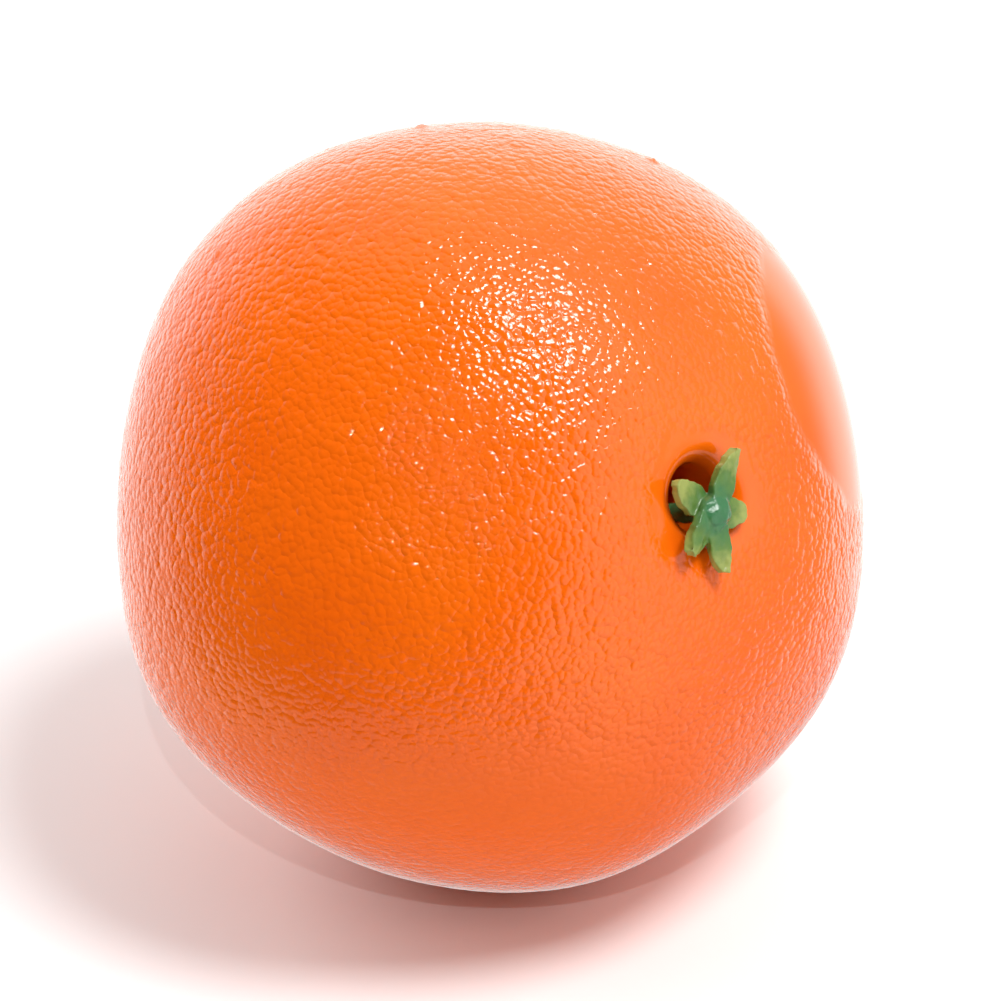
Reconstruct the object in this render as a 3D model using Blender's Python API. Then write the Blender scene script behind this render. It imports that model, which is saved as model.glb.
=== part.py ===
"""An orange lying on its small flat spot, with a loose green calyx standing in its stem hole.

Metres, +Z up. Fruit and calyx are shaped about the fruit's own axis, stem end on +Z, and hang
from one empty, which lays them over and centres them on the origin.
"""

import math

import bmesh
import bpy
from mathutils import Euler, Matrix, Vector

MM = 0.001
MERGE_DISTANCE = 0.01 * MM
SHARP_ANGLE = 50.0

# Fruit
EQUATOR_RADIUS = 39.3 * MM
POLAR_RADIUS = 35.9 * MM
STEM_DIMPLE_DEPTH = 1.6 * MM
STEM_DIMPLE_WIDTH = 9.0 * MM
TIP_DIMPLE_DEPTH = 1.0 * MM
TIP_DIMPLE_WIDTH = 7.0 * MM
# Soft shoulders that run from end to end: angle round the axis, height, half-width
SHOULDERS = (
    (41.0, 1.7 * MM, 17.0),
    (117.0, 1.4 * MM, 17.0),
    (202.0, 1.9 * MM, 18.0),
    (280.0, 1.8 * MM, 15.0),
    (352.0, 0.8 * MM, 11.0),
)
SKIN_STEPS = 32
ROUND_STEPS = 60

# Stem hole, a rounded lip that turns down into a blind socket
HOLE_RADIUS = 3.4 * MM
HOLE_END_RADIUS = 3.15 * MM
HOLE_DEPTH = 13.0 * MM
HOLE_FLOOR_ROUNDING = 1.2 * MM
FLOOR_STEPS = 3
LIP_RADIUS = 2.4 * MM
LIP_MEETS_SKIN = 96.0
LIP_STEPS = 6

# How the fruit lies
AXIS_ABOVE_FLOOR = 25.0
FOOT_CUT = 1.0 * MM

# Calyx, about the middle of its boss
CALYX_OFFSET = Vector((1.3, -0.7, 35.8)) * MM
CALYX_LEAN = 4.0
CALYX_LEANS_TOWARDS = 65.0
# Lobes: angle round the axis, length from the middle, half-width as an angle, sharpness
LOBES = (
    (71.0, 4.6 * MM, 38.0, 1.4),
    (141.0, 7.0 * MM, 33.0, 2.0),
    (221.0, 5.9 * MM, 34.0, 1.5),
    (298.0, 5.5 * MM, 32.0, 1.5),
    (350.0, 6.0 * MM, 31.0, 1.9),
)
NOTCH_RADIUS = 2.2 * MM
LOBE_THICKNESS = 0.8 * MM
LOBE_EDGE_THICKNESS = 0.4 * MM
LOBE_DROOP = 0.3 * MM
BOSS_RADIUS = 2.0 * MM
BOSS_HEIGHT = 1.2 * MM
PEG_RADIUS = 1.1 * MM
PEG_END_RADIUS = 0.85 * MM
PEG_NECK = 1.2 * MM
PEG_LENGTH = 13.0 * MM
CALYX_STEPS = 72
BOSS_SHARES = (0.35, 0.7, 0.95)
BLADE_SHARES = (0.3, 0.6, 0.85)


def clear_scene():
    for thing in list(bpy.data.objects):
        bpy.data.objects.remove(thing, do_unlink=True)


def surface(name, colour, roughness):
    """A plain non-metal material."""
    material = bpy.data.materials.new(name)
    material.use_nodes = True
    shader = material.node_tree.nodes["Principled BSDF"]
    shader.inputs["Base Color"].default_value = (*colour, 1.0)
    shader.inputs["Roughness"].default_value = roughness
    shader.inputs["Metallic"].default_value = 0.0
    return material


def finish_piece(name, bm, material, parent):
    """Turn a bmesh into a smooth-shaded object under the given parent."""
    bmesh.ops.recalc_face_normals(bm, faces=bm.faces)
    mesh = bpy.data.meshes.new(name)
    bm.to_mesh(mesh)
    bm.free()
    mesh.materials.append(material)
    mesh.shade_smooth()
    mesh.set_sharp_from_angle(angle=math.radians(SHARP_ANGLE))
    piece = bpy.data.objects.new(name, mesh)
    bpy.context.scene.collection.objects.link(piece)
    piece.parent = parent
    return piece


def skin_height(radius, side):
    """Height of the turned skin at a distance from the axis: side is 1 at the stem, -1 at the tip."""
    dome = POLAR_RADIUS * math.sqrt(max(0.0, 1.0 - (radius / EQUATOR_RADIUS) ** 2))
    if side > 0:
        dimple = STEM_DIMPLE_DEPTH * math.exp(-((radius / STEM_DIMPLE_WIDTH) ** 2))
    else:
        dimple = TIP_DIMPLE_DEPTH * math.exp(-((radius / TIP_DIMPLE_WIDTH) ** 2))
    return side * (dome - dimple)


def shoulder_height(angle):
    """How far the shoulders push the skin out at an angle in degrees round the axis."""
    total = 0.0
    for centre, height, half_width in SHOULDERS:
        away = (angle - centre + 180.0) % 360.0 - 180.0
        total += height * math.exp(-0.5 * (away / half_width) ** 2)
    return total


def arc(centre, radius, start, end, steps):
    """Points on a circle in the profile's plane, from one angle in degrees to another."""
    points = []
    for step in range(steps + 1):
        angle = math.radians(start + (end - start) * step / steps)
        points.append((centre[0] + radius * math.cos(angle), centre[1] + radius * math.sin(angle)))
    return points


def fruit_profile():
    """Distance from the axis and height, from the socket's floor over the lip to the far end."""
    lip_start = HOLE_RADIUS + LIP_RADIUS
    lip_centre = (lip_start, skin_height(lip_start, 1) - LIP_RADIUS)
    floor = lip_centre[1] + LIP_RADIUS - HOLE_DEPTH
    corner = (HOLE_END_RADIUS - HOLE_FLOOR_ROUNDING, floor + HOLE_FLOOR_ROUNDING)
    points = [(0.0, floor)]
    points += arc(corner, HOLE_FLOOR_ROUNDING, -90.0, 0.0, FLOOR_STEPS)
    points += arc(lip_centre, LIP_RADIUS, 180.0, LIP_MEETS_SKIN, LIP_STEPS)
    start = math.asin(lip_start / EQUATOR_RADIUS)
    for step in range(SKIN_STEPS + 1):
        polar = start + (math.pi - start) * step / SKIN_STEPS
        radius = EQUATOR_RADIUS * math.sin(polar) if step < SKIN_STEPS else 0.0
        side = 1 if polar < math.pi / 2 else -1
        points.append((radius, skin_height(radius, side)))
    return points


def make_fruit(parent, material):
    """One closed solid: a turned body with shoulders, its stem hole, and the flat it lies on."""
    bm = bmesh.new()
    line = [bm.verts.new((radius, 0.0, height)) for radius, height in fruit_profile()]
    edges = [bm.edges.new(pair) for pair in zip(line, line[1:])]
    bmesh.ops.spin(
        bm,
        geom=line + edges,
        cent=(0.0, 0.0, 0.0),
        axis=(0.0, 0.0, 1.0),
        angle=2.0 * math.pi,
        steps=ROUND_STEPS,
        use_merge=True,
    )
    bmesh.ops.remove_doubles(bm, verts=bm.verts, dist=MERGE_DISTANCE)
    for vert in bm.verts:
        radius = math.hypot(vert.co.x, vert.co.y)
        share = min(1.0, radius / EQUATOR_RADIUS) ** 2
        push = share * shoulder_height(math.degrees(math.atan2(vert.co.y, vert.co.x)))
        vert.co += vert.co.normalized() * push
    cut_foot(bm)
    return finish_piece("orange_body", bm, material, parent)


def laid_over():
    """The turn that lays the fruit's axis down towards +X."""
    return Euler((0.0, math.radians(90.0 - AXIS_ABOVE_FLOOR), 0.0))


def cut_foot(bm):
    """Slice a small flat off the lowest place of the fruit as it lies."""
    up = laid_over().to_matrix().inverted() @ Vector((0.0, 0.0, 1.0))
    lowest = min(vert.co.dot(up) for vert in bm.verts)
    cut = bmesh.ops.bisect_plane(
        bm,
        geom=bm.verts[:] + bm.edges[:] + bm.faces[:],
        dist=MERGE_DISTANCE,
        plane_co=up * (lowest + FOOT_CUT),
        plane_no=-up,
        clear_outer=True,
    )
    rim = [item for item in cut["geom_cut"] if isinstance(item, bmesh.types.BMEdge)]
    bmesh.ops.edgeloop_fill(bm, edges=rim)


def lobe_reach(angle):
    """Distance from the calyx's middle to its edge at an angle in degrees."""
    reach = NOTCH_RADIUS
    for centre, length, half_width, sharpness in LOBES:
        away = abs((angle - centre + 180.0) % 360.0 - 180.0)
        if away < half_width:
            swell = math.cos(math.radians(90.0 * away / half_width)) ** sharpness
            reach += (length - NOTCH_RADIUS) * swell
    return reach


def add_ring(bm, share, lift):
    """A ring of edges part of the way from the boss to the lobes' edge, on the dipping blade."""
    ring = []
    for step in range(CALYX_STEPS):
        angle = 360.0 * step / CALYX_STEPS
        radius = BOSS_RADIUS + (lobe_reach(angle) - BOSS_RADIUS) * share
        dip = LOBE_DROOP * (radius / BOSS_RADIUS - 1.0)
        place = Matrix.Rotation(math.radians(angle), 3, "Z") @ Vector((radius, 0.0, lift - dip))
        ring.append(bm.verts.new(place))
    return [bm.edges.new((ring[i - 1], ring[i])) for i in range(CALYX_STEPS)]


def add_circle(bm, radius, height):
    """A round ring of edges about the calyx's middle."""
    circle = bmesh.ops.create_circle(bm, segments=CALYX_STEPS, radius=radius)["verts"]
    bmesh.ops.translate(bm, verts=circle, vec=(0.0, 0.0, height))
    return list({edge for vert in circle for edge in vert.link_edges})


def make_calyx(parent, material):
    """Boss, lobes and peg as one closed solid, ring after ring from the top down."""
    half = LOBE_THICKNESS / 2
    edge_half = LOBE_EDGE_THICKNESS / 2
    bm = bmesh.new()
    rings = []
    for share in BOSS_SHARES:
        height = half + BOSS_HEIGHT * math.sqrt(1.0 - share**2)
        rings.append(add_circle(bm, share * BOSS_RADIUS, height))
    rings += [add_ring(bm, share, half) for share in BLADE_SHARES]
    rings += [add_ring(bm, 1.0, edge_half), add_ring(bm, 1.0, -edge_half)]
    rings += [add_ring(bm, share, -half) for share in reversed(BLADE_SHARES)]
    head = bm.verts[:]
    towards = Matrix.Rotation(math.radians(CALYX_LEANS_TOWARDS), 3, "Z") @ Vector((0.0, 1.0, 0.0))
    lean = Matrix.Rotation(math.radians(CALYX_LEAN), 3, towards)
    bmesh.ops.rotate(bm, verts=head, matrix=lean)
    rings.append(add_circle(bm, PEG_RADIUS, -PEG_NECK))
    rings.append(add_circle(bm, PEG_END_RADIUS, -PEG_LENGTH))
    for ring, following in zip(rings, rings[1:]):
        bmesh.ops.bridge_loops(bm, edges=ring + following)
    bmesh.ops.edgeloop_fill(bm, edges=rings[0])
    bmesh.ops.edgeloop_fill(bm, edges=rings[-1])
    bmesh.ops.translate(bm, verts=bm.verts, vec=CALYX_OFFSET)
    return finish_piece("calyx", bm, material, parent)


def centre_on_origin(holder, pieces):
    """Move the holder so that the whole object stands on z = 0 with its box centred on the origin."""
    bpy.context.view_layer.update()
    places = [piece.matrix_world @ vert.co for piece in pieces for vert in piece.data.vertices]
    low = Vector([min(place[axis] for place in places) for axis in range(3)])
    high = Vector([max(place[axis] for place in places) for axis in range(3)])
    holder.location = Vector((-(low.x + high.x) / 2, -(low.y + high.y) / 2, -low.z))


clear_scene()
lying = bpy.data.objects.new("lying", None)
bpy.context.scene.collection.objects.link(lying)
lying.rotation_euler = laid_over()
orange_skin = surface("orange_skin", (0.84, 0.12, 0.01), 0.3)
green_calyx = surface("green_calyx", (0.12, 0.27, 0.06), 0.35)
fruit = make_fruit(lying, orange_skin)
calyx = make_calyx(lying, green_calyx)
centre_on_origin(lying, [fruit, calyx])
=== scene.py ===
import math
import random

import bmesh
import bpy
from mathutils import Matrix, Vector, noise


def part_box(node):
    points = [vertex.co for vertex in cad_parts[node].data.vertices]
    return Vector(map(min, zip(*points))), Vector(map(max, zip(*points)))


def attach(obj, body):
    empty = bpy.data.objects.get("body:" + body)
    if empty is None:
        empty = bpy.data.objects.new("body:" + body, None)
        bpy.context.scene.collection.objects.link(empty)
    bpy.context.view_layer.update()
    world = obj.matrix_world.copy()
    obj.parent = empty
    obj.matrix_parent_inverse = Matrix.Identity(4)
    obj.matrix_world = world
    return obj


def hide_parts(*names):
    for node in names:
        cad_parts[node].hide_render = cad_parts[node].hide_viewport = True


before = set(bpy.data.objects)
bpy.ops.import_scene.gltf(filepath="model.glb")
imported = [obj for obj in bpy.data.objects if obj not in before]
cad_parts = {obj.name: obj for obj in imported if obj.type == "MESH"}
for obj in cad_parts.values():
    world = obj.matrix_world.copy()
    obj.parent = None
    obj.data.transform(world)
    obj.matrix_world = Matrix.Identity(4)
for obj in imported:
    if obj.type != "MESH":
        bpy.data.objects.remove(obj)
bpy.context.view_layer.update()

MM = 0.001

# ---------------------------------------------------------------------------------------------
# Camera. A long lens looks down on the lying fruit at thirty degrees, with the stem end turned
# to the right of the picture.
# ---------------------------------------------------------------------------------------------
CAMERA_AZIMUTH = math.radians(48.5)
CAMERA_ELEVATION = math.radians(30.0)
CAMERA_DISTANCE = 450 * MM
CAMERA_LENS = 157.0

towards_camera = Vector(
    (
        math.sin(CAMERA_AZIMUTH) * math.cos(CAMERA_ELEVATION),
        -math.cos(CAMERA_AZIMUTH) * math.cos(CAMERA_ELEVATION),
        math.sin(CAMERA_ELEVATION),
    )
)
camera_right = Vector((math.cos(CAMERA_AZIMUTH), math.sin(CAMERA_AZIMUTH), 0.0))
camera_up = towards_camera.cross(camera_right)
body_low, body_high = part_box("orange_body")
fruit_centre = (body_low + body_high) / 2
looked_at = fruit_centre + camera_right * 1.26 * MM + camera_up * 0.1 * MM

camera_data = bpy.data.cameras.new("camera")
camera_data.lens = CAMERA_LENS
camera_data.sensor_width = 36.0
camera = bpy.data.objects.new("camera", camera_data)
camera.location = looked_at + towards_camera * CAMERA_DISTANCE
camera.rotation_mode = "QUATERNION"
camera.rotation_quaternion = (-towards_camera).to_track_quat("-Z", "Y")
camera_data.clip_start = 10 * MM
camera_data.clip_end = 5.0
bpy.context.scene.collection.objects.link(camera)
bpy.context.scene.camera = camera
bpy.context.scene.view_settings.view_transform = "Standard"

# ---------------------------------------------------------------------------------------------
# Studio. A white sheet to stand on, a soft light overhead, a fill at the left, a tiny hard light
# by the camera, a tall bright panel at the right, white paper behind and a dark room in front.
# ---------------------------------------------------------------------------------------------
FLOOR_SIZE = 6.0

floor_bm = bmesh.new()
bmesh.ops.create_grid(floor_bm, x_segments=1, y_segments=1, size=FLOOR_SIZE / 2)
floor_mesh = bpy.data.meshes.new("floor")
floor_bm.to_mesh(floor_mesh)
floor_bm.free()
floor = bpy.data.objects.new("floor", floor_mesh)
bpy.context.scene.collection.objects.link(floor)
floor.visible_glossy = False

paper = bpy.data.materials.new("white_paper")
paper.use_nodes = True
paper_shader = paper.node_tree.nodes["Principled BSDF"]
paper_shader.inputs["Base Color"].default_value = (0.93, 0.93, 0.93, 1.0)
paper_shader.inputs["Roughness"].default_value = 0.9
paper_shader.inputs["Specular IOR Level"].default_value = 0.0
floor_mesh.materials.append(paper)


def studio_light(name, direction, distance, size, power):
    """A round soft light that faces the fruit from a direction."""
    data = bpy.data.lights.new(name, "AREA")
    data.shape = "DISK"
    data.size = size
    data.energy = power
    light = bpy.data.objects.new(name, data)
    light.location = fruit_centre + direction.normalized() * distance
    light.rotation_mode = "QUATERNION"
    light.rotation_quaternion = (-direction).to_track_quat("-Z", "Y")
    light.visible_camera = False
    bpy.context.scene.collection.objects.link(light)
    return light


overhead = camera_right * 0.38 + camera_up * 0.68 + towards_camera * 0.64
studio_light("overhead_light", overhead, 0.9, 0.34, 6.2)
left_side = camera_up * 0.7 - camera_right * 0.9 + towards_camera * 0.1
studio_light("left_fill_light", left_side, 0.9, 0.8, 3.8).visible_glossy = False
sparkle = camera_up * 0.2 - camera_right * 0.02 + towards_camera * 1.0
studio_light("sparkle_light", sparkle, 0.6, 0.006, 0.35)

world = bpy.data.worlds.new("studio")
world.use_nodes = True
bpy.context.scene.world = world
nodes = world.node_tree.nodes
links = world.node_tree.links
background = nodes["Background"]
sky = nodes.new("ShaderNodeTexCoord")


def along(direction):
    """How far the sky's direction points along another, from -1 to 1."""
    node = nodes.new("ShaderNodeVectorMath")
    node.operation = "DOT_PRODUCT"
    node.inputs[1].default_value = tuple(direction.normalized())
    links.new(sky.outputs["Generated"], node.inputs[0])
    return node.outputs["Value"]


def brightness(value, steps):
    """Brightness that goes from step to step as the value grows; a step is (value, brightness)."""
    scale = nodes.new("ShaderNodeMapRange")
    scale.inputs["From Min"].default_value = steps[0][0]
    scale.inputs["From Max"].default_value = steps[-1][0]
    links.new(value, scale.inputs["Value"])
    ramp = nodes.new("ShaderNodeValToRGB")
    ramp.color_ramp.interpolation = "EASE"
    stops = ramp.color_ramp.elements
    while len(stops) < len(steps):
        stops.new(0.5)
    for stop, (at, level) in zip(stops, steps):
        stop.position = (at - steps[0][0]) / (steps[-1][0] - steps[0][0])
        stop.color = (level / 4.0, level / 4.0, level / 4.0, 1.0)
    links.new(scale.outputs["Result"], ramp.inputs["Fac"])
    return ramp.outputs["Color"]


def blend(share, first, second):
    node = nodes.new("ShaderNodeMix")
    node.data_type = "RGBA"
    links.new(share, node.inputs["Factor"])
    links.new(first, node.inputs["A"])
    links.new(second, node.inputs["B"])
    return node.outputs["Result"]


# Round the fruit, in turns from the camera's side: the dark room, a tall panel at the right, a gap,
# white paper behind, and paper again at the left
turn = nodes.new("ShaderNodeMath")
turn.operation = "ARCTAN2"
links.new(along(camera_right), turn.inputs[0])
links.new(along(towards_camera), turn.inputs[1])
ROUND_THE_FRUIT = (
    (-180, 1.9), (-130, 1.7), (-102, 1.0), (-88, 0.03), (26, 0.03), (40, 1.3), (72, 1.7),
    (85, 0.7), (118, 0.6), (140, 1.9), (180, 1.9),
)
round_it = brightness(turn.outputs["Value"], [(math.radians(at), level) for at, level in ROUND_THE_FRUIT])
above = brightness(along(camera_up), ((-1.0, 0.0), (0.6, 0.0), (0.95, 3.4), (1.0, 4.0)))
top_colour = nodes.new("ShaderNodeRGB")
top_colour.outputs["Color"].default_value = (0.26, 0.26, 0.26, 1.0)
with_top = blend(above, round_it, top_colour.outputs["Color"])
# Below the horizon the sky stands in for the paper as the fruit's gloss sees it, since the real sheet is
# hidden from gloss: bright paper to the sides, and painted shadow of the fruit straight below.
below = brightness(along(Vector((0.0, 0.0, -1.0))), ((-1.0, 0.0), (0.45, 0.0), (0.65, 4.0), (1.0, 4.0)))
gloss_paper_with_painted_shadow = brightness(along(Vector((0.0, 0.0, -1.0))), ((-1.0, 1.2), (0.5, 1.2), (1.0, 0.45)))
light = blend(below, with_top, gloss_paper_with_painted_shadow)
links.new(light, background.inputs["Color"])
background.inputs["Strength"].default_value = 3.3

# ---------------------------------------------------------------------------------------------
# Skin of the fruit, stem hole and all: one moulded shell in glossy orange lacquer, pebbled like
# peel, smooth in the funnel round the stem hole and in one polished patch on the shoulder beside
# it. A fine even ball of triangles is pressed into the fruit's shape and then given its grain.
# ---------------------------------------------------------------------------------------------
EQUATOR_RADIUS = 39.3 * MM
POLAR_RADIUS = 35.9 * MM
STEM_DIMPLE = (1.6 * MM, 9.0 * MM)
TIP_DIMPLE = (1.0 * MM, 7.0 * MM)
SHOULDERS = (
    (41.0, 1.7 * MM, 17.0),
    (117.0, 1.4 * MM, 17.0),
    (202.0, 1.9 * MM, 18.0),
    (280.0, 1.8 * MM, 15.0),
    (352.0, 0.8 * MM, 11.0),
)
AXIS_ABOVE_FLOOR = 25.0
HOLE_RADIUS = 3.4 * MM
HOLE_END_RADIUS = 3.15 * MM
HOLE_DEPTH = 13.0 * MM
LIP_RADIUS = 2.4 * MM
LIP_STEPS = 12
WALL_STEPS = 5

MESH_POINTS = 22000
PEBBLE_PITCH = 1.05 * MM
PEBBLE_HEIGHT = 0.06 * MM


def skin_place(point):
    """Carries a point of the unit ball onto the smooth skin, stem end on +Z."""
    flat = math.hypot(point.x, point.y) * EQUATOR_RADIUS
    side = 1.0 if point.z > 0 else -1.0
    depth, width = STEM_DIMPLE if point.z > 0 else TIP_DIMPLE
    height = side * (POLAR_RADIUS * abs(point.z) - depth * math.exp(-((flat / width) ** 2)))
    place = Vector((point.x * EQUATOR_RADIUS, point.y * EQUATOR_RADIUS, height))
    angle = math.degrees(math.atan2(point.y, point.x))
    push = 0.0
    for centre, rise, half_width in SHOULDERS:
        away = (angle - centre + 180.0) % 360.0 - 180.0
        push += rise * math.exp(-0.5 * (away / half_width) ** 2)
    share = min(1.0, flat / EQUATOR_RADIUS) ** 2
    return place + place.normalized() * push * share


def smoothstep(low, high, value):
    share = min(1.0, max(0.0, (value - low) / (high - low)))
    return share * share * (3.0 - 2.0 * share)


def hull_of(points):
    """A ball of triangles over points scattered on it."""
    ball = bmesh.new()
    for point in points:
        ball.verts.new(point)
    bmesh.ops.convex_hull(ball, input=ball.verts[:], use_existing_faces=False)
    return ball


scatter = random.Random(5)
golden = math.pi * (3.0 - math.sqrt(5.0))
seeds = []
for index in range(MESH_POINTS):
    height = 1.0 - 2.0 * (index + 0.5) / MESH_POINTS
    ring = math.sqrt(1.0 - height * height)
    seed = Vector((ring * math.cos(golden * index), ring * math.sin(golden * index), height))
    jitter = Vector((scatter.gauss(0, 1), scatter.gauss(0, 1), scatter.gauss(0, 1)))
    seeds.append((seed + jitter * 0.004).normalized())
skin = hull_of(seeds)
bmesh.ops.subdivide_edges(skin, edges=skin.edges[:], cuts=1, use_grid_fill=True)
for vert in skin.verts:
    vert.co.normalize()

lip_start = HOLE_RADIUS + LIP_RADIUS
lip_top = math.sqrt(1.0 - (lip_start / EQUATOR_RADIUS) ** 2)
cut = bmesh.ops.bisect_plane(
    skin,
    geom=skin.verts[:] + skin.edges[:] + skin.faces[:],
    dist=0.0003,
    plane_co=(0.0, 0.0, lip_top),
    plane_no=(0.0, 0.0, 1.0),
    clear_outer=True,
)
mouth = [item for item in cut["geom_cut"] if isinstance(item, bmesh.types.BMEdge)]

BARE_FUNNEL = (5.8 * MM, 8.2 * MM)

laid_over = Matrix.Rotation(math.radians(90.0 - AXIS_ABOVE_FLOOR), 3, "Y")
polished = (camera_right * 0.91 + camera_up * 0.36 + towards_camera * 0.15).normalized()
polished_side = camera_up.cross(polished).normalized()
polished_top = polished.cross(polished_side)
pimples = [
    (camera_right * right + camera_up * up + towards_camera * near).normalized()
    for right, up, near in ((-0.67, 0.62, 0.41), (-0.18, 0.96, 0.20), (0.42, 0.90, 0.10), (0.30, -0.2, -0.9))
]

relief = skin.verts.layers.float.new("relief")
for vert in skin.verts:
    place = skin_place(vert.co)
    heading = (laid_over @ place).normalized()
    wander = noise.noise(place * 260.0)
    from_axis = math.hypot(place.x, place.y) * (1.0 + 0.2 * wander)
    share = 1.0
    if place.z > 0.0:
        share = smoothstep(*BARE_FUNNEL, from_axis)
    if heading.dot(polished) > 0.0:
        reach = math.hypot(heading.dot(polished_side) / 0.40, heading.dot(polished_top) / 0.36)
        share *= smoothstep(0.95, 1.08, reach + 0.06 * wander)
    share *= 1.0 - 0.55 * smoothstep(0.55, 0.8, -heading.dot(camera_up))
    swell = 0.10 * MM * noise.noise(place * 130.0) + 0.06 * MM * noise.noise(place * 420.0)
    distances, centres = noise.voronoi(place / PEBBLE_PITCH)
    dome = 1.0 - min(1.0, distances[0]) ** 2
    pimple = sum(math.exp(-((heading - spot).length / 0.014) ** 2) for spot in pimples)
    vert[relief] = share
    vert.co = place + place.normalized() * ((swell + PEBBLE_HEIGHT * dome) * share + 0.3 * MM * pimple)

z_top = sum(vert.co.z for edge in mouth for vert in edge.verts) / (2 * len(mouth))
lip_centre = (lip_start, z_top - LIP_RADIUS)
socket_floor = z_top - HOLE_DEPTH
socket = []
for step in range(1, LIP_STEPS + 1):
    turn = math.radians(94.0 + (180.0 - 94.0) * step / LIP_STEPS)
    socket.append((lip_centre[0] + LIP_RADIUS * math.cos(turn), lip_centre[1] + LIP_RADIUS * math.sin(turn)))
for step in range(1, WALL_STEPS + 1):
    share = step / WALL_STEPS
    socket.append((
        HOLE_RADIUS + (HOLE_END_RADIUS - HOLE_RADIUS) * share,
        lip_centre[1] + (socket_floor + 1.0 * MM - lip_centre[1]) * share,
    ))
socket.append((HOLE_END_RADIUS - 1.0 * MM, socket_floor))
ring = mouth
for radius, height in socket:
    made = bmesh.ops.extrude_edge_only(skin, edges=ring)["geom"]
    for vert in (item for item in made if isinstance(item, bmesh.types.BMVert)):
        turn = math.atan2(vert.co.y, vert.co.x)
        uneven = 1.0 + 0.02 * math.sin(2.0 * turn + 0.6) + 0.012 * math.sin(3.0 * turn)
        reach = radius * uneven
        vert.co = Vector((reach * math.cos(turn), reach * math.sin(turn), height))
        vert[relief] = 0.0
    ring = [item for item in made if isinstance(item, bmesh.types.BMEdge) and item.is_boundary]
bmesh.ops.edgeloop_fill(skin, edges=ring)
bmesh.ops.recalc_face_normals(skin, faces=skin.faces)

for vert in skin.verts:
    vert.co = laid_over @ vert.co
low = Vector([min(vert.co[axis] for vert in skin.verts) for axis in range(3)])
high = Vector([max(vert.co[axis] for vert in skin.verts) for axis in range(3)])
shift = Vector((
    (body_low.x + body_high.x - low.x - high.x) / 2,
    (body_low.y + body_high.y - low.y - high.y) / 2,
    body_high.z - high.z,
))
FOOT_BLEND = 0.25 * MM
for vert in skin.verts:
    vert.co += shift
    if vert.co.z < FOOT_BLEND:
        vert.co.z = FOOT_BLEND * math.exp((vert.co.z - FOOT_BLEND) / FOOT_BLEND)

skin_mesh = bpy.data.meshes.new("skin")
skin.to_mesh(skin_mesh)
skin.free()
skin_mesh.shade_smooth()
skin_piece = bpy.data.objects.new("skin", skin_mesh)
bpy.context.scene.collection.objects.link(skin_piece)
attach(skin_piece, "root")
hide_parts("orange_body")

lacquer = bpy.data.materials.new("orange_lacquer")
lacquer.use_nodes = True
nodes = lacquer.node_tree.nodes
links = lacquer.node_tree.links
shader = nodes["Principled BSDF"]
where = nodes.new("ShaderNodeTexCoord")
blush = nodes.new("ShaderNodeTexNoise")
blush.inputs["Scale"].default_value = 45.0
blush.inputs["Detail"].default_value = 3.0
links.new(where.outputs["Object"], blush.inputs["Vector"])
tone = nodes.new("ShaderNodeValToRGB")
tone.color_ramp.elements[0].position = 0.3
tone.color_ramp.elements[0].color = (0.87, 0.118, 0.002, 1.0)
tone.color_ramp.elements[1].position = 0.7
tone.color_ramp.elements[1].color = (0.91, 0.146, 0.003, 1.0)
links.new(blush.outputs["Fac"], tone.inputs["Fac"])
links.new(tone.outputs["Color"], shader.inputs["Base Color"])
relief_share = nodes.new("ShaderNodeAttribute")
relief_share.attribute_name = "relief"


def skin_math(operation, first, second):
    node = nodes.new("ShaderNodeMath")
    node.operation = operation
    for socket_in, value in zip(node.inputs, (first, second)):
        if isinstance(value, float):
            socket_in.default_value = value
        else:
            links.new(value, socket_in)
    return node.outputs["Value"]


warp = nodes.new("ShaderNodeTexNoise")
warp.inputs["Scale"].default_value = 600.0
warp.inputs["Detail"].default_value = 1.0
links.new(where.outputs["Object"], warp.inputs["Vector"])
warped = nodes.new("ShaderNodeVectorMath")
warped.operation = "MULTIPLY_ADD"
warped.inputs[1].default_value = (0.45 * MM, 0.45 * MM, 0.45 * MM)
links.new(warp.outputs["Color"], warped.inputs[0])
links.new(where.outputs["Object"], warped.inputs[2])
cells = nodes.new("ShaderNodeTexVoronoi")
cells.feature = "SMOOTH_F1"
cells.inputs["Scale"].default_value = 1450.0
cells.inputs["Smoothness"].default_value = 0.25
links.new(warped.outputs["Vector"], cells.inputs["Vector"])
dome_share = skin_math("SUBTRACT", 1.0, skin_math("POWER", cells.outputs["Distance"], 2.0))
patches = nodes.new("ShaderNodeTexNoise")
patches.inputs["Scale"].default_value = 900.0
patches.inputs["Detail"].default_value = 2.0
links.new(where.outputs["Object"], patches.inputs["Vector"])
height = skin_math("ADD", dome_share, skin_math("MULTIPLY", patches.outputs["Fac"], 0.6))
height = skin_math("MULTIPLY", height, relief_share.outputs["Fac"])
bump = nodes.new("ShaderNodeBump")
bump.inputs["Distance"].default_value = 0.16 * MM
links.new(height, bump.inputs["Height"])
links.new(bump.outputs["Normal"], shader.inputs["Normal"])
shader.inputs["Roughness"].default_value = 0.07
shader.inputs["IOR"].default_value = 1.5
skin_mesh.materials.append(lacquer)

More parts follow.
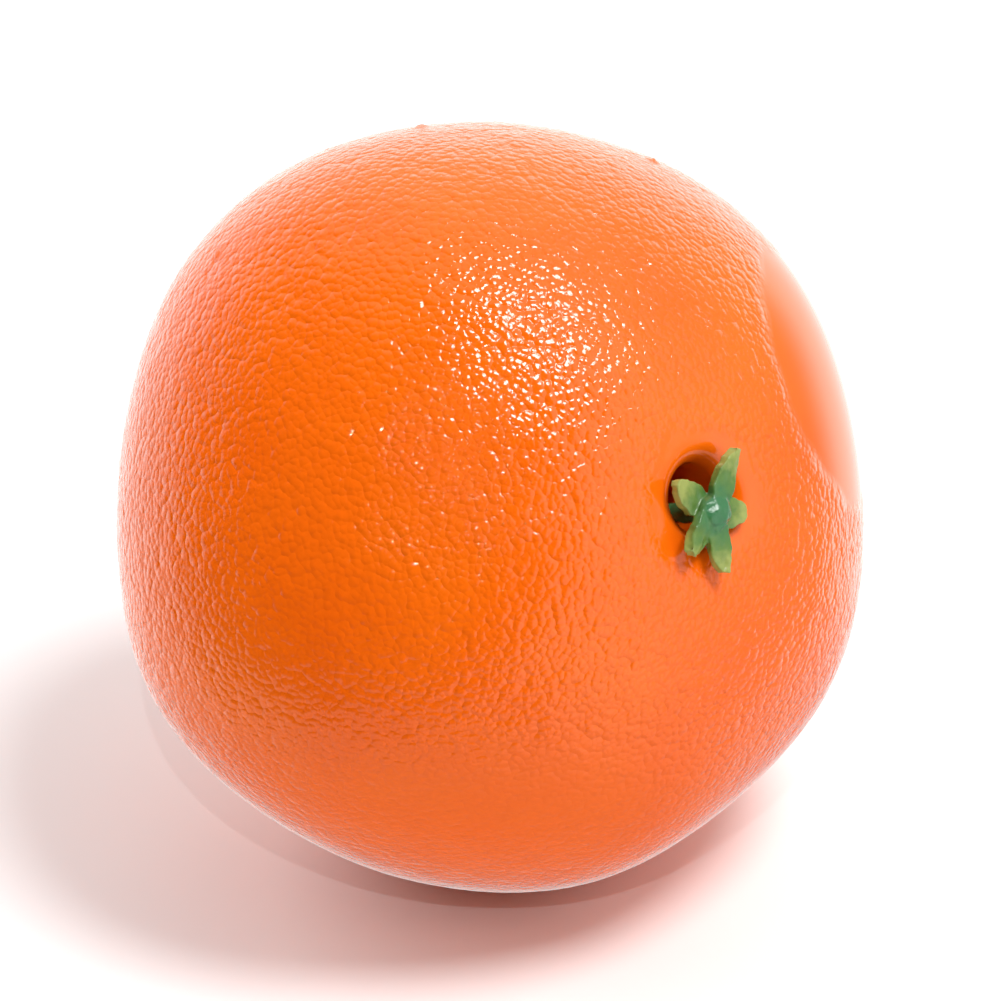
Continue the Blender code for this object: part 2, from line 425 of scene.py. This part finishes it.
# ---------------------------------------------------------------------------------------------
# Calyx: a small green moulding, a domed boss with five fleshy leaf-shaped lobes of uneven length
# and a tapered peg below that stands loose in the stem hole and leans to one side.
# ---------------------------------------------------------------------------------------------
CALYX_OFFSET = Vector((1.3 * MM, -0.7 * MM, 35.8 * MM))
CALYX_LEAN = (4.0, 65.0)
LOBE_LIST = (
    # heading, length, half width, sharpness, lift of the tip, twist, crumple
    (71.0, 4.6, 1.80, 0.6, 0.1, -0.10, 0.20),
    (141.0, 6.7, 1.45, 2.2, 0.3, 0.20, 0.10),
    (221.0, 5.4, 1.65, 0.6, 0.3, 0.10, 0.15),
    (298.0, 5.4, 1.60, 0.9, 0.0, -0.25, 0.45),
    (350.0, 6.0, 1.40, 1.3, -0.1, 0.15, 0.15),
)
LOBE_THICKNESS = 0.95 * MM
BOSS_SIZE = (1.75 * MM, 2.05 * MM, 1.35 * MM)
PEG_RADIUS = 1.1 * MM
PEG_TIP_RADIUS = 0.85 * MM
PEG_LENGTH = 12.6 * MM

calyx_bm = bmesh.new()
for number, (heading, length, half_width, sharpness, lift, twist, crumple) in enumerate(LOBE_LIST):
    grid = bmesh.ops.create_grid(calyx_bm, x_segments=28, y_segments=14, size=1.0)["verts"]
    out = Vector((math.cos(math.radians(heading)), math.sin(math.radians(heading)), 0.0))
    side = Vector((-out.y, out.x, 0.0))
    middles = {vert: (vert.co.x, vert.co.y) for vert in grid}
    for vert, (u, v) in middles.items():
        reach = (u + 1.0) / 2.0
        belly = math.sin(math.pi * min(1.0, 0.32 + 0.66 * reach)) ** (0.35 + 0.2 * sharpness)
        belly = max(belly, 0.05) * (1.0 - 0.25 * math.exp(-((reach - 0.18) / 0.12) ** 2))
        width = half_width * MM * belly
        ragged = 1.0 + 0.14 * noise.noise(Vector((reach * 9.0, v * 1.5, number * 7.0)))
        across = v * width * ragged
        droop = lift * MM * reach ** 2 - 0.25 * MM * math.sin(math.pi * reach)
        wave = crumple * MM * noise.noise(Vector((reach * 3.0, v * 0.9, number * 5.0 + 2.0)))
        rib = 0.10 * MM * (1.0 - abs(v)) * math.sin(math.pi * reach)
        rise = droop + wave + rib + twist * across * reach
        vert.co = out * (length * MM * reach) + side * across + Vector((0.0, 0.0, rise))
    faces = list({face for vert in grid for face in vert.link_faces})
    bmesh.ops.recalc_face_normals(calyx_bm, faces=faces)
    bmesh.ops.solidify(calyx_bm, geom=faces, thickness=LOBE_THICKNESS)
boss = bmesh.ops.create_uvsphere(calyx_bm, u_segments=32, v_segments=20, radius=1.0)["verts"]
for vert in boss:
    lump = 1.0 + 0.06 * noise.noise(vert.co * 2.2)
    vert.co = Vector((vert.co.x * BOSS_SIZE[0], vert.co.y * BOSS_SIZE[1], vert.co.z * BOSS_SIZE[2])) * lump
    vert.co.z += 0.1 * MM
peg = bmesh.ops.create_cone(
    calyx_bm, cap_ends=True, segments=24, radius1=PEG_TIP_RADIUS, radius2=PEG_RADIUS, depth=PEG_LENGTH
)["verts"]
for vert in peg:
    vert.co.z -= PEG_LENGTH / 2 + 0.2 * MM
bmesh.ops.recalc_face_normals(calyx_bm, faces=calyx_bm.faces)

calyx_mesh = bpy.data.meshes.new("calyx_moulding")
calyx_bm.to_mesh(calyx_mesh)
calyx_bm.free()
calyx = bpy.data.objects.new("calyx_moulding", calyx_mesh)
bpy.context.scene.collection.objects.link(calyx)
fuse = calyx.modifiers.new("fuse", "REMESH")
fuse.mode = "VOXEL"
fuse.voxel_size = 0.1 * MM
soften = calyx.modifiers.new("soften", "SMOOTH")
soften.factor = 0.5
soften.iterations = 5
fused = bpy.data.meshes.new_from_object(calyx.evaluated_get(bpy.context.evaluated_depsgraph_get()))
calyx.modifiers.clear()
calyx.data = fused

calyx_bm = bmesh.new()
calyx_bm.from_mesh(fused)
outwards_tone_and_painted_glow = calyx_bm.verts.layers.float.new("outwards_tone_and_painted_glow")
lean = Matrix.Rotation(
    math.radians(CALYX_LEAN[0]),
    3,
    Vector((-math.sin(math.radians(CALYX_LEAN[1])), math.cos(math.radians(CALYX_LEAN[1])), 0.0)),
)
for vert in calyx_bm.verts:
    # This share is low on the raised boss and high at the lobe tips. The boss takes the moulding's own
    # darker blue-green; the lighter tips are painted glow of light through the thin lobes.
    vert[outwards_tone_and_painted_glow] = math.hypot(vert.co.x, vert.co.y) / (6.0 * MM) - max(0.0, vert.co.z) / (5.0 * MM)
    vert.co += vert.normal * 0.10 * MM * noise.noise(vert.co * 1100.0)
    vert.co = laid_over @ (lean @ vert.co + CALYX_OFFSET) + shift
calyx_bm.to_mesh(fused)
calyx_bm.free()
fused.shade_smooth()
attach(calyx, "root")
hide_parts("calyx")

green = bpy.data.materials.new("calyx_green_moulding")
green.use_nodes = True
nodes = green.node_tree.nodes
links = green.node_tree.links
leaf = nodes["Principled BSDF"]
out_share = nodes.new("ShaderNodeAttribute")
out_share.attribute_name = "outwards_tone_and_painted_glow"
where = nodes.new("ShaderNodeTexCoord")
mottle = nodes.new("ShaderNodeTexNoise")
mottle.inputs["Scale"].default_value = 900.0
mottle.inputs["Detail"].default_value = 4.0
links.new(where.outputs["Object"], mottle.inputs["Vector"])
shifted = nodes.new("ShaderNodeMath")
shifted.operation = "MULTIPLY_ADD"
links.new(mottle.outputs["Fac"], shifted.inputs[0])
shifted.inputs[1].default_value = 0.5
links.new(out_share.outputs["Fac"], shifted.inputs[2])
# Colour from the outwards share plus mottle: the own blue-green of the boss, the own green of the lobes, and
# a lighter yellow-green at the tips that is painted glow of light through them.
leaf_tone = nodes.new("ShaderNodeValToRGB")
leaf_tone.color_ramp.elements[0].position = 0.30
leaf_tone.color_ramp.elements[0].color = (0.040, 0.165, 0.060, 1.0)
leaf_tone.color_ramp.elements[1].position = 1.0
leaf_tone.color_ramp.elements[1].color = (0.30, 0.34, 0.08, 1.0)
middle_tone = leaf_tone.color_ramp.elements.new(0.70)
middle_tone.color = (0.10, 0.190, 0.035, 1.0)
links.new(shifted.outputs["Value"], leaf_tone.inputs["Fac"])
links.new(leaf_tone.outputs["Color"], leaf.inputs["Base Color"])
leaf_bump = nodes.new("ShaderNodeBump")
leaf_bump.inputs["Distance"].default_value = 0.22 * MM
leaf_bump.inputs["Strength"].default_value = 0.7
links.new(mottle.outputs["Fac"], leaf_bump.inputs["Height"])
links.new(leaf_bump.outputs["Normal"], leaf.inputs["Normal"])
leaf.inputs["Roughness"].default_value = 0.22
leaf.inputs["IOR"].default_value = 1.5
fused.materials.clear()
fused.materials.append(green)

# ---------------------------------------------------------------------------------------------
# Standing height. The paper lies a hair below the foot.
# ---------------------------------------------------------------------------------------------
floor.location.z = -0.03 * MM
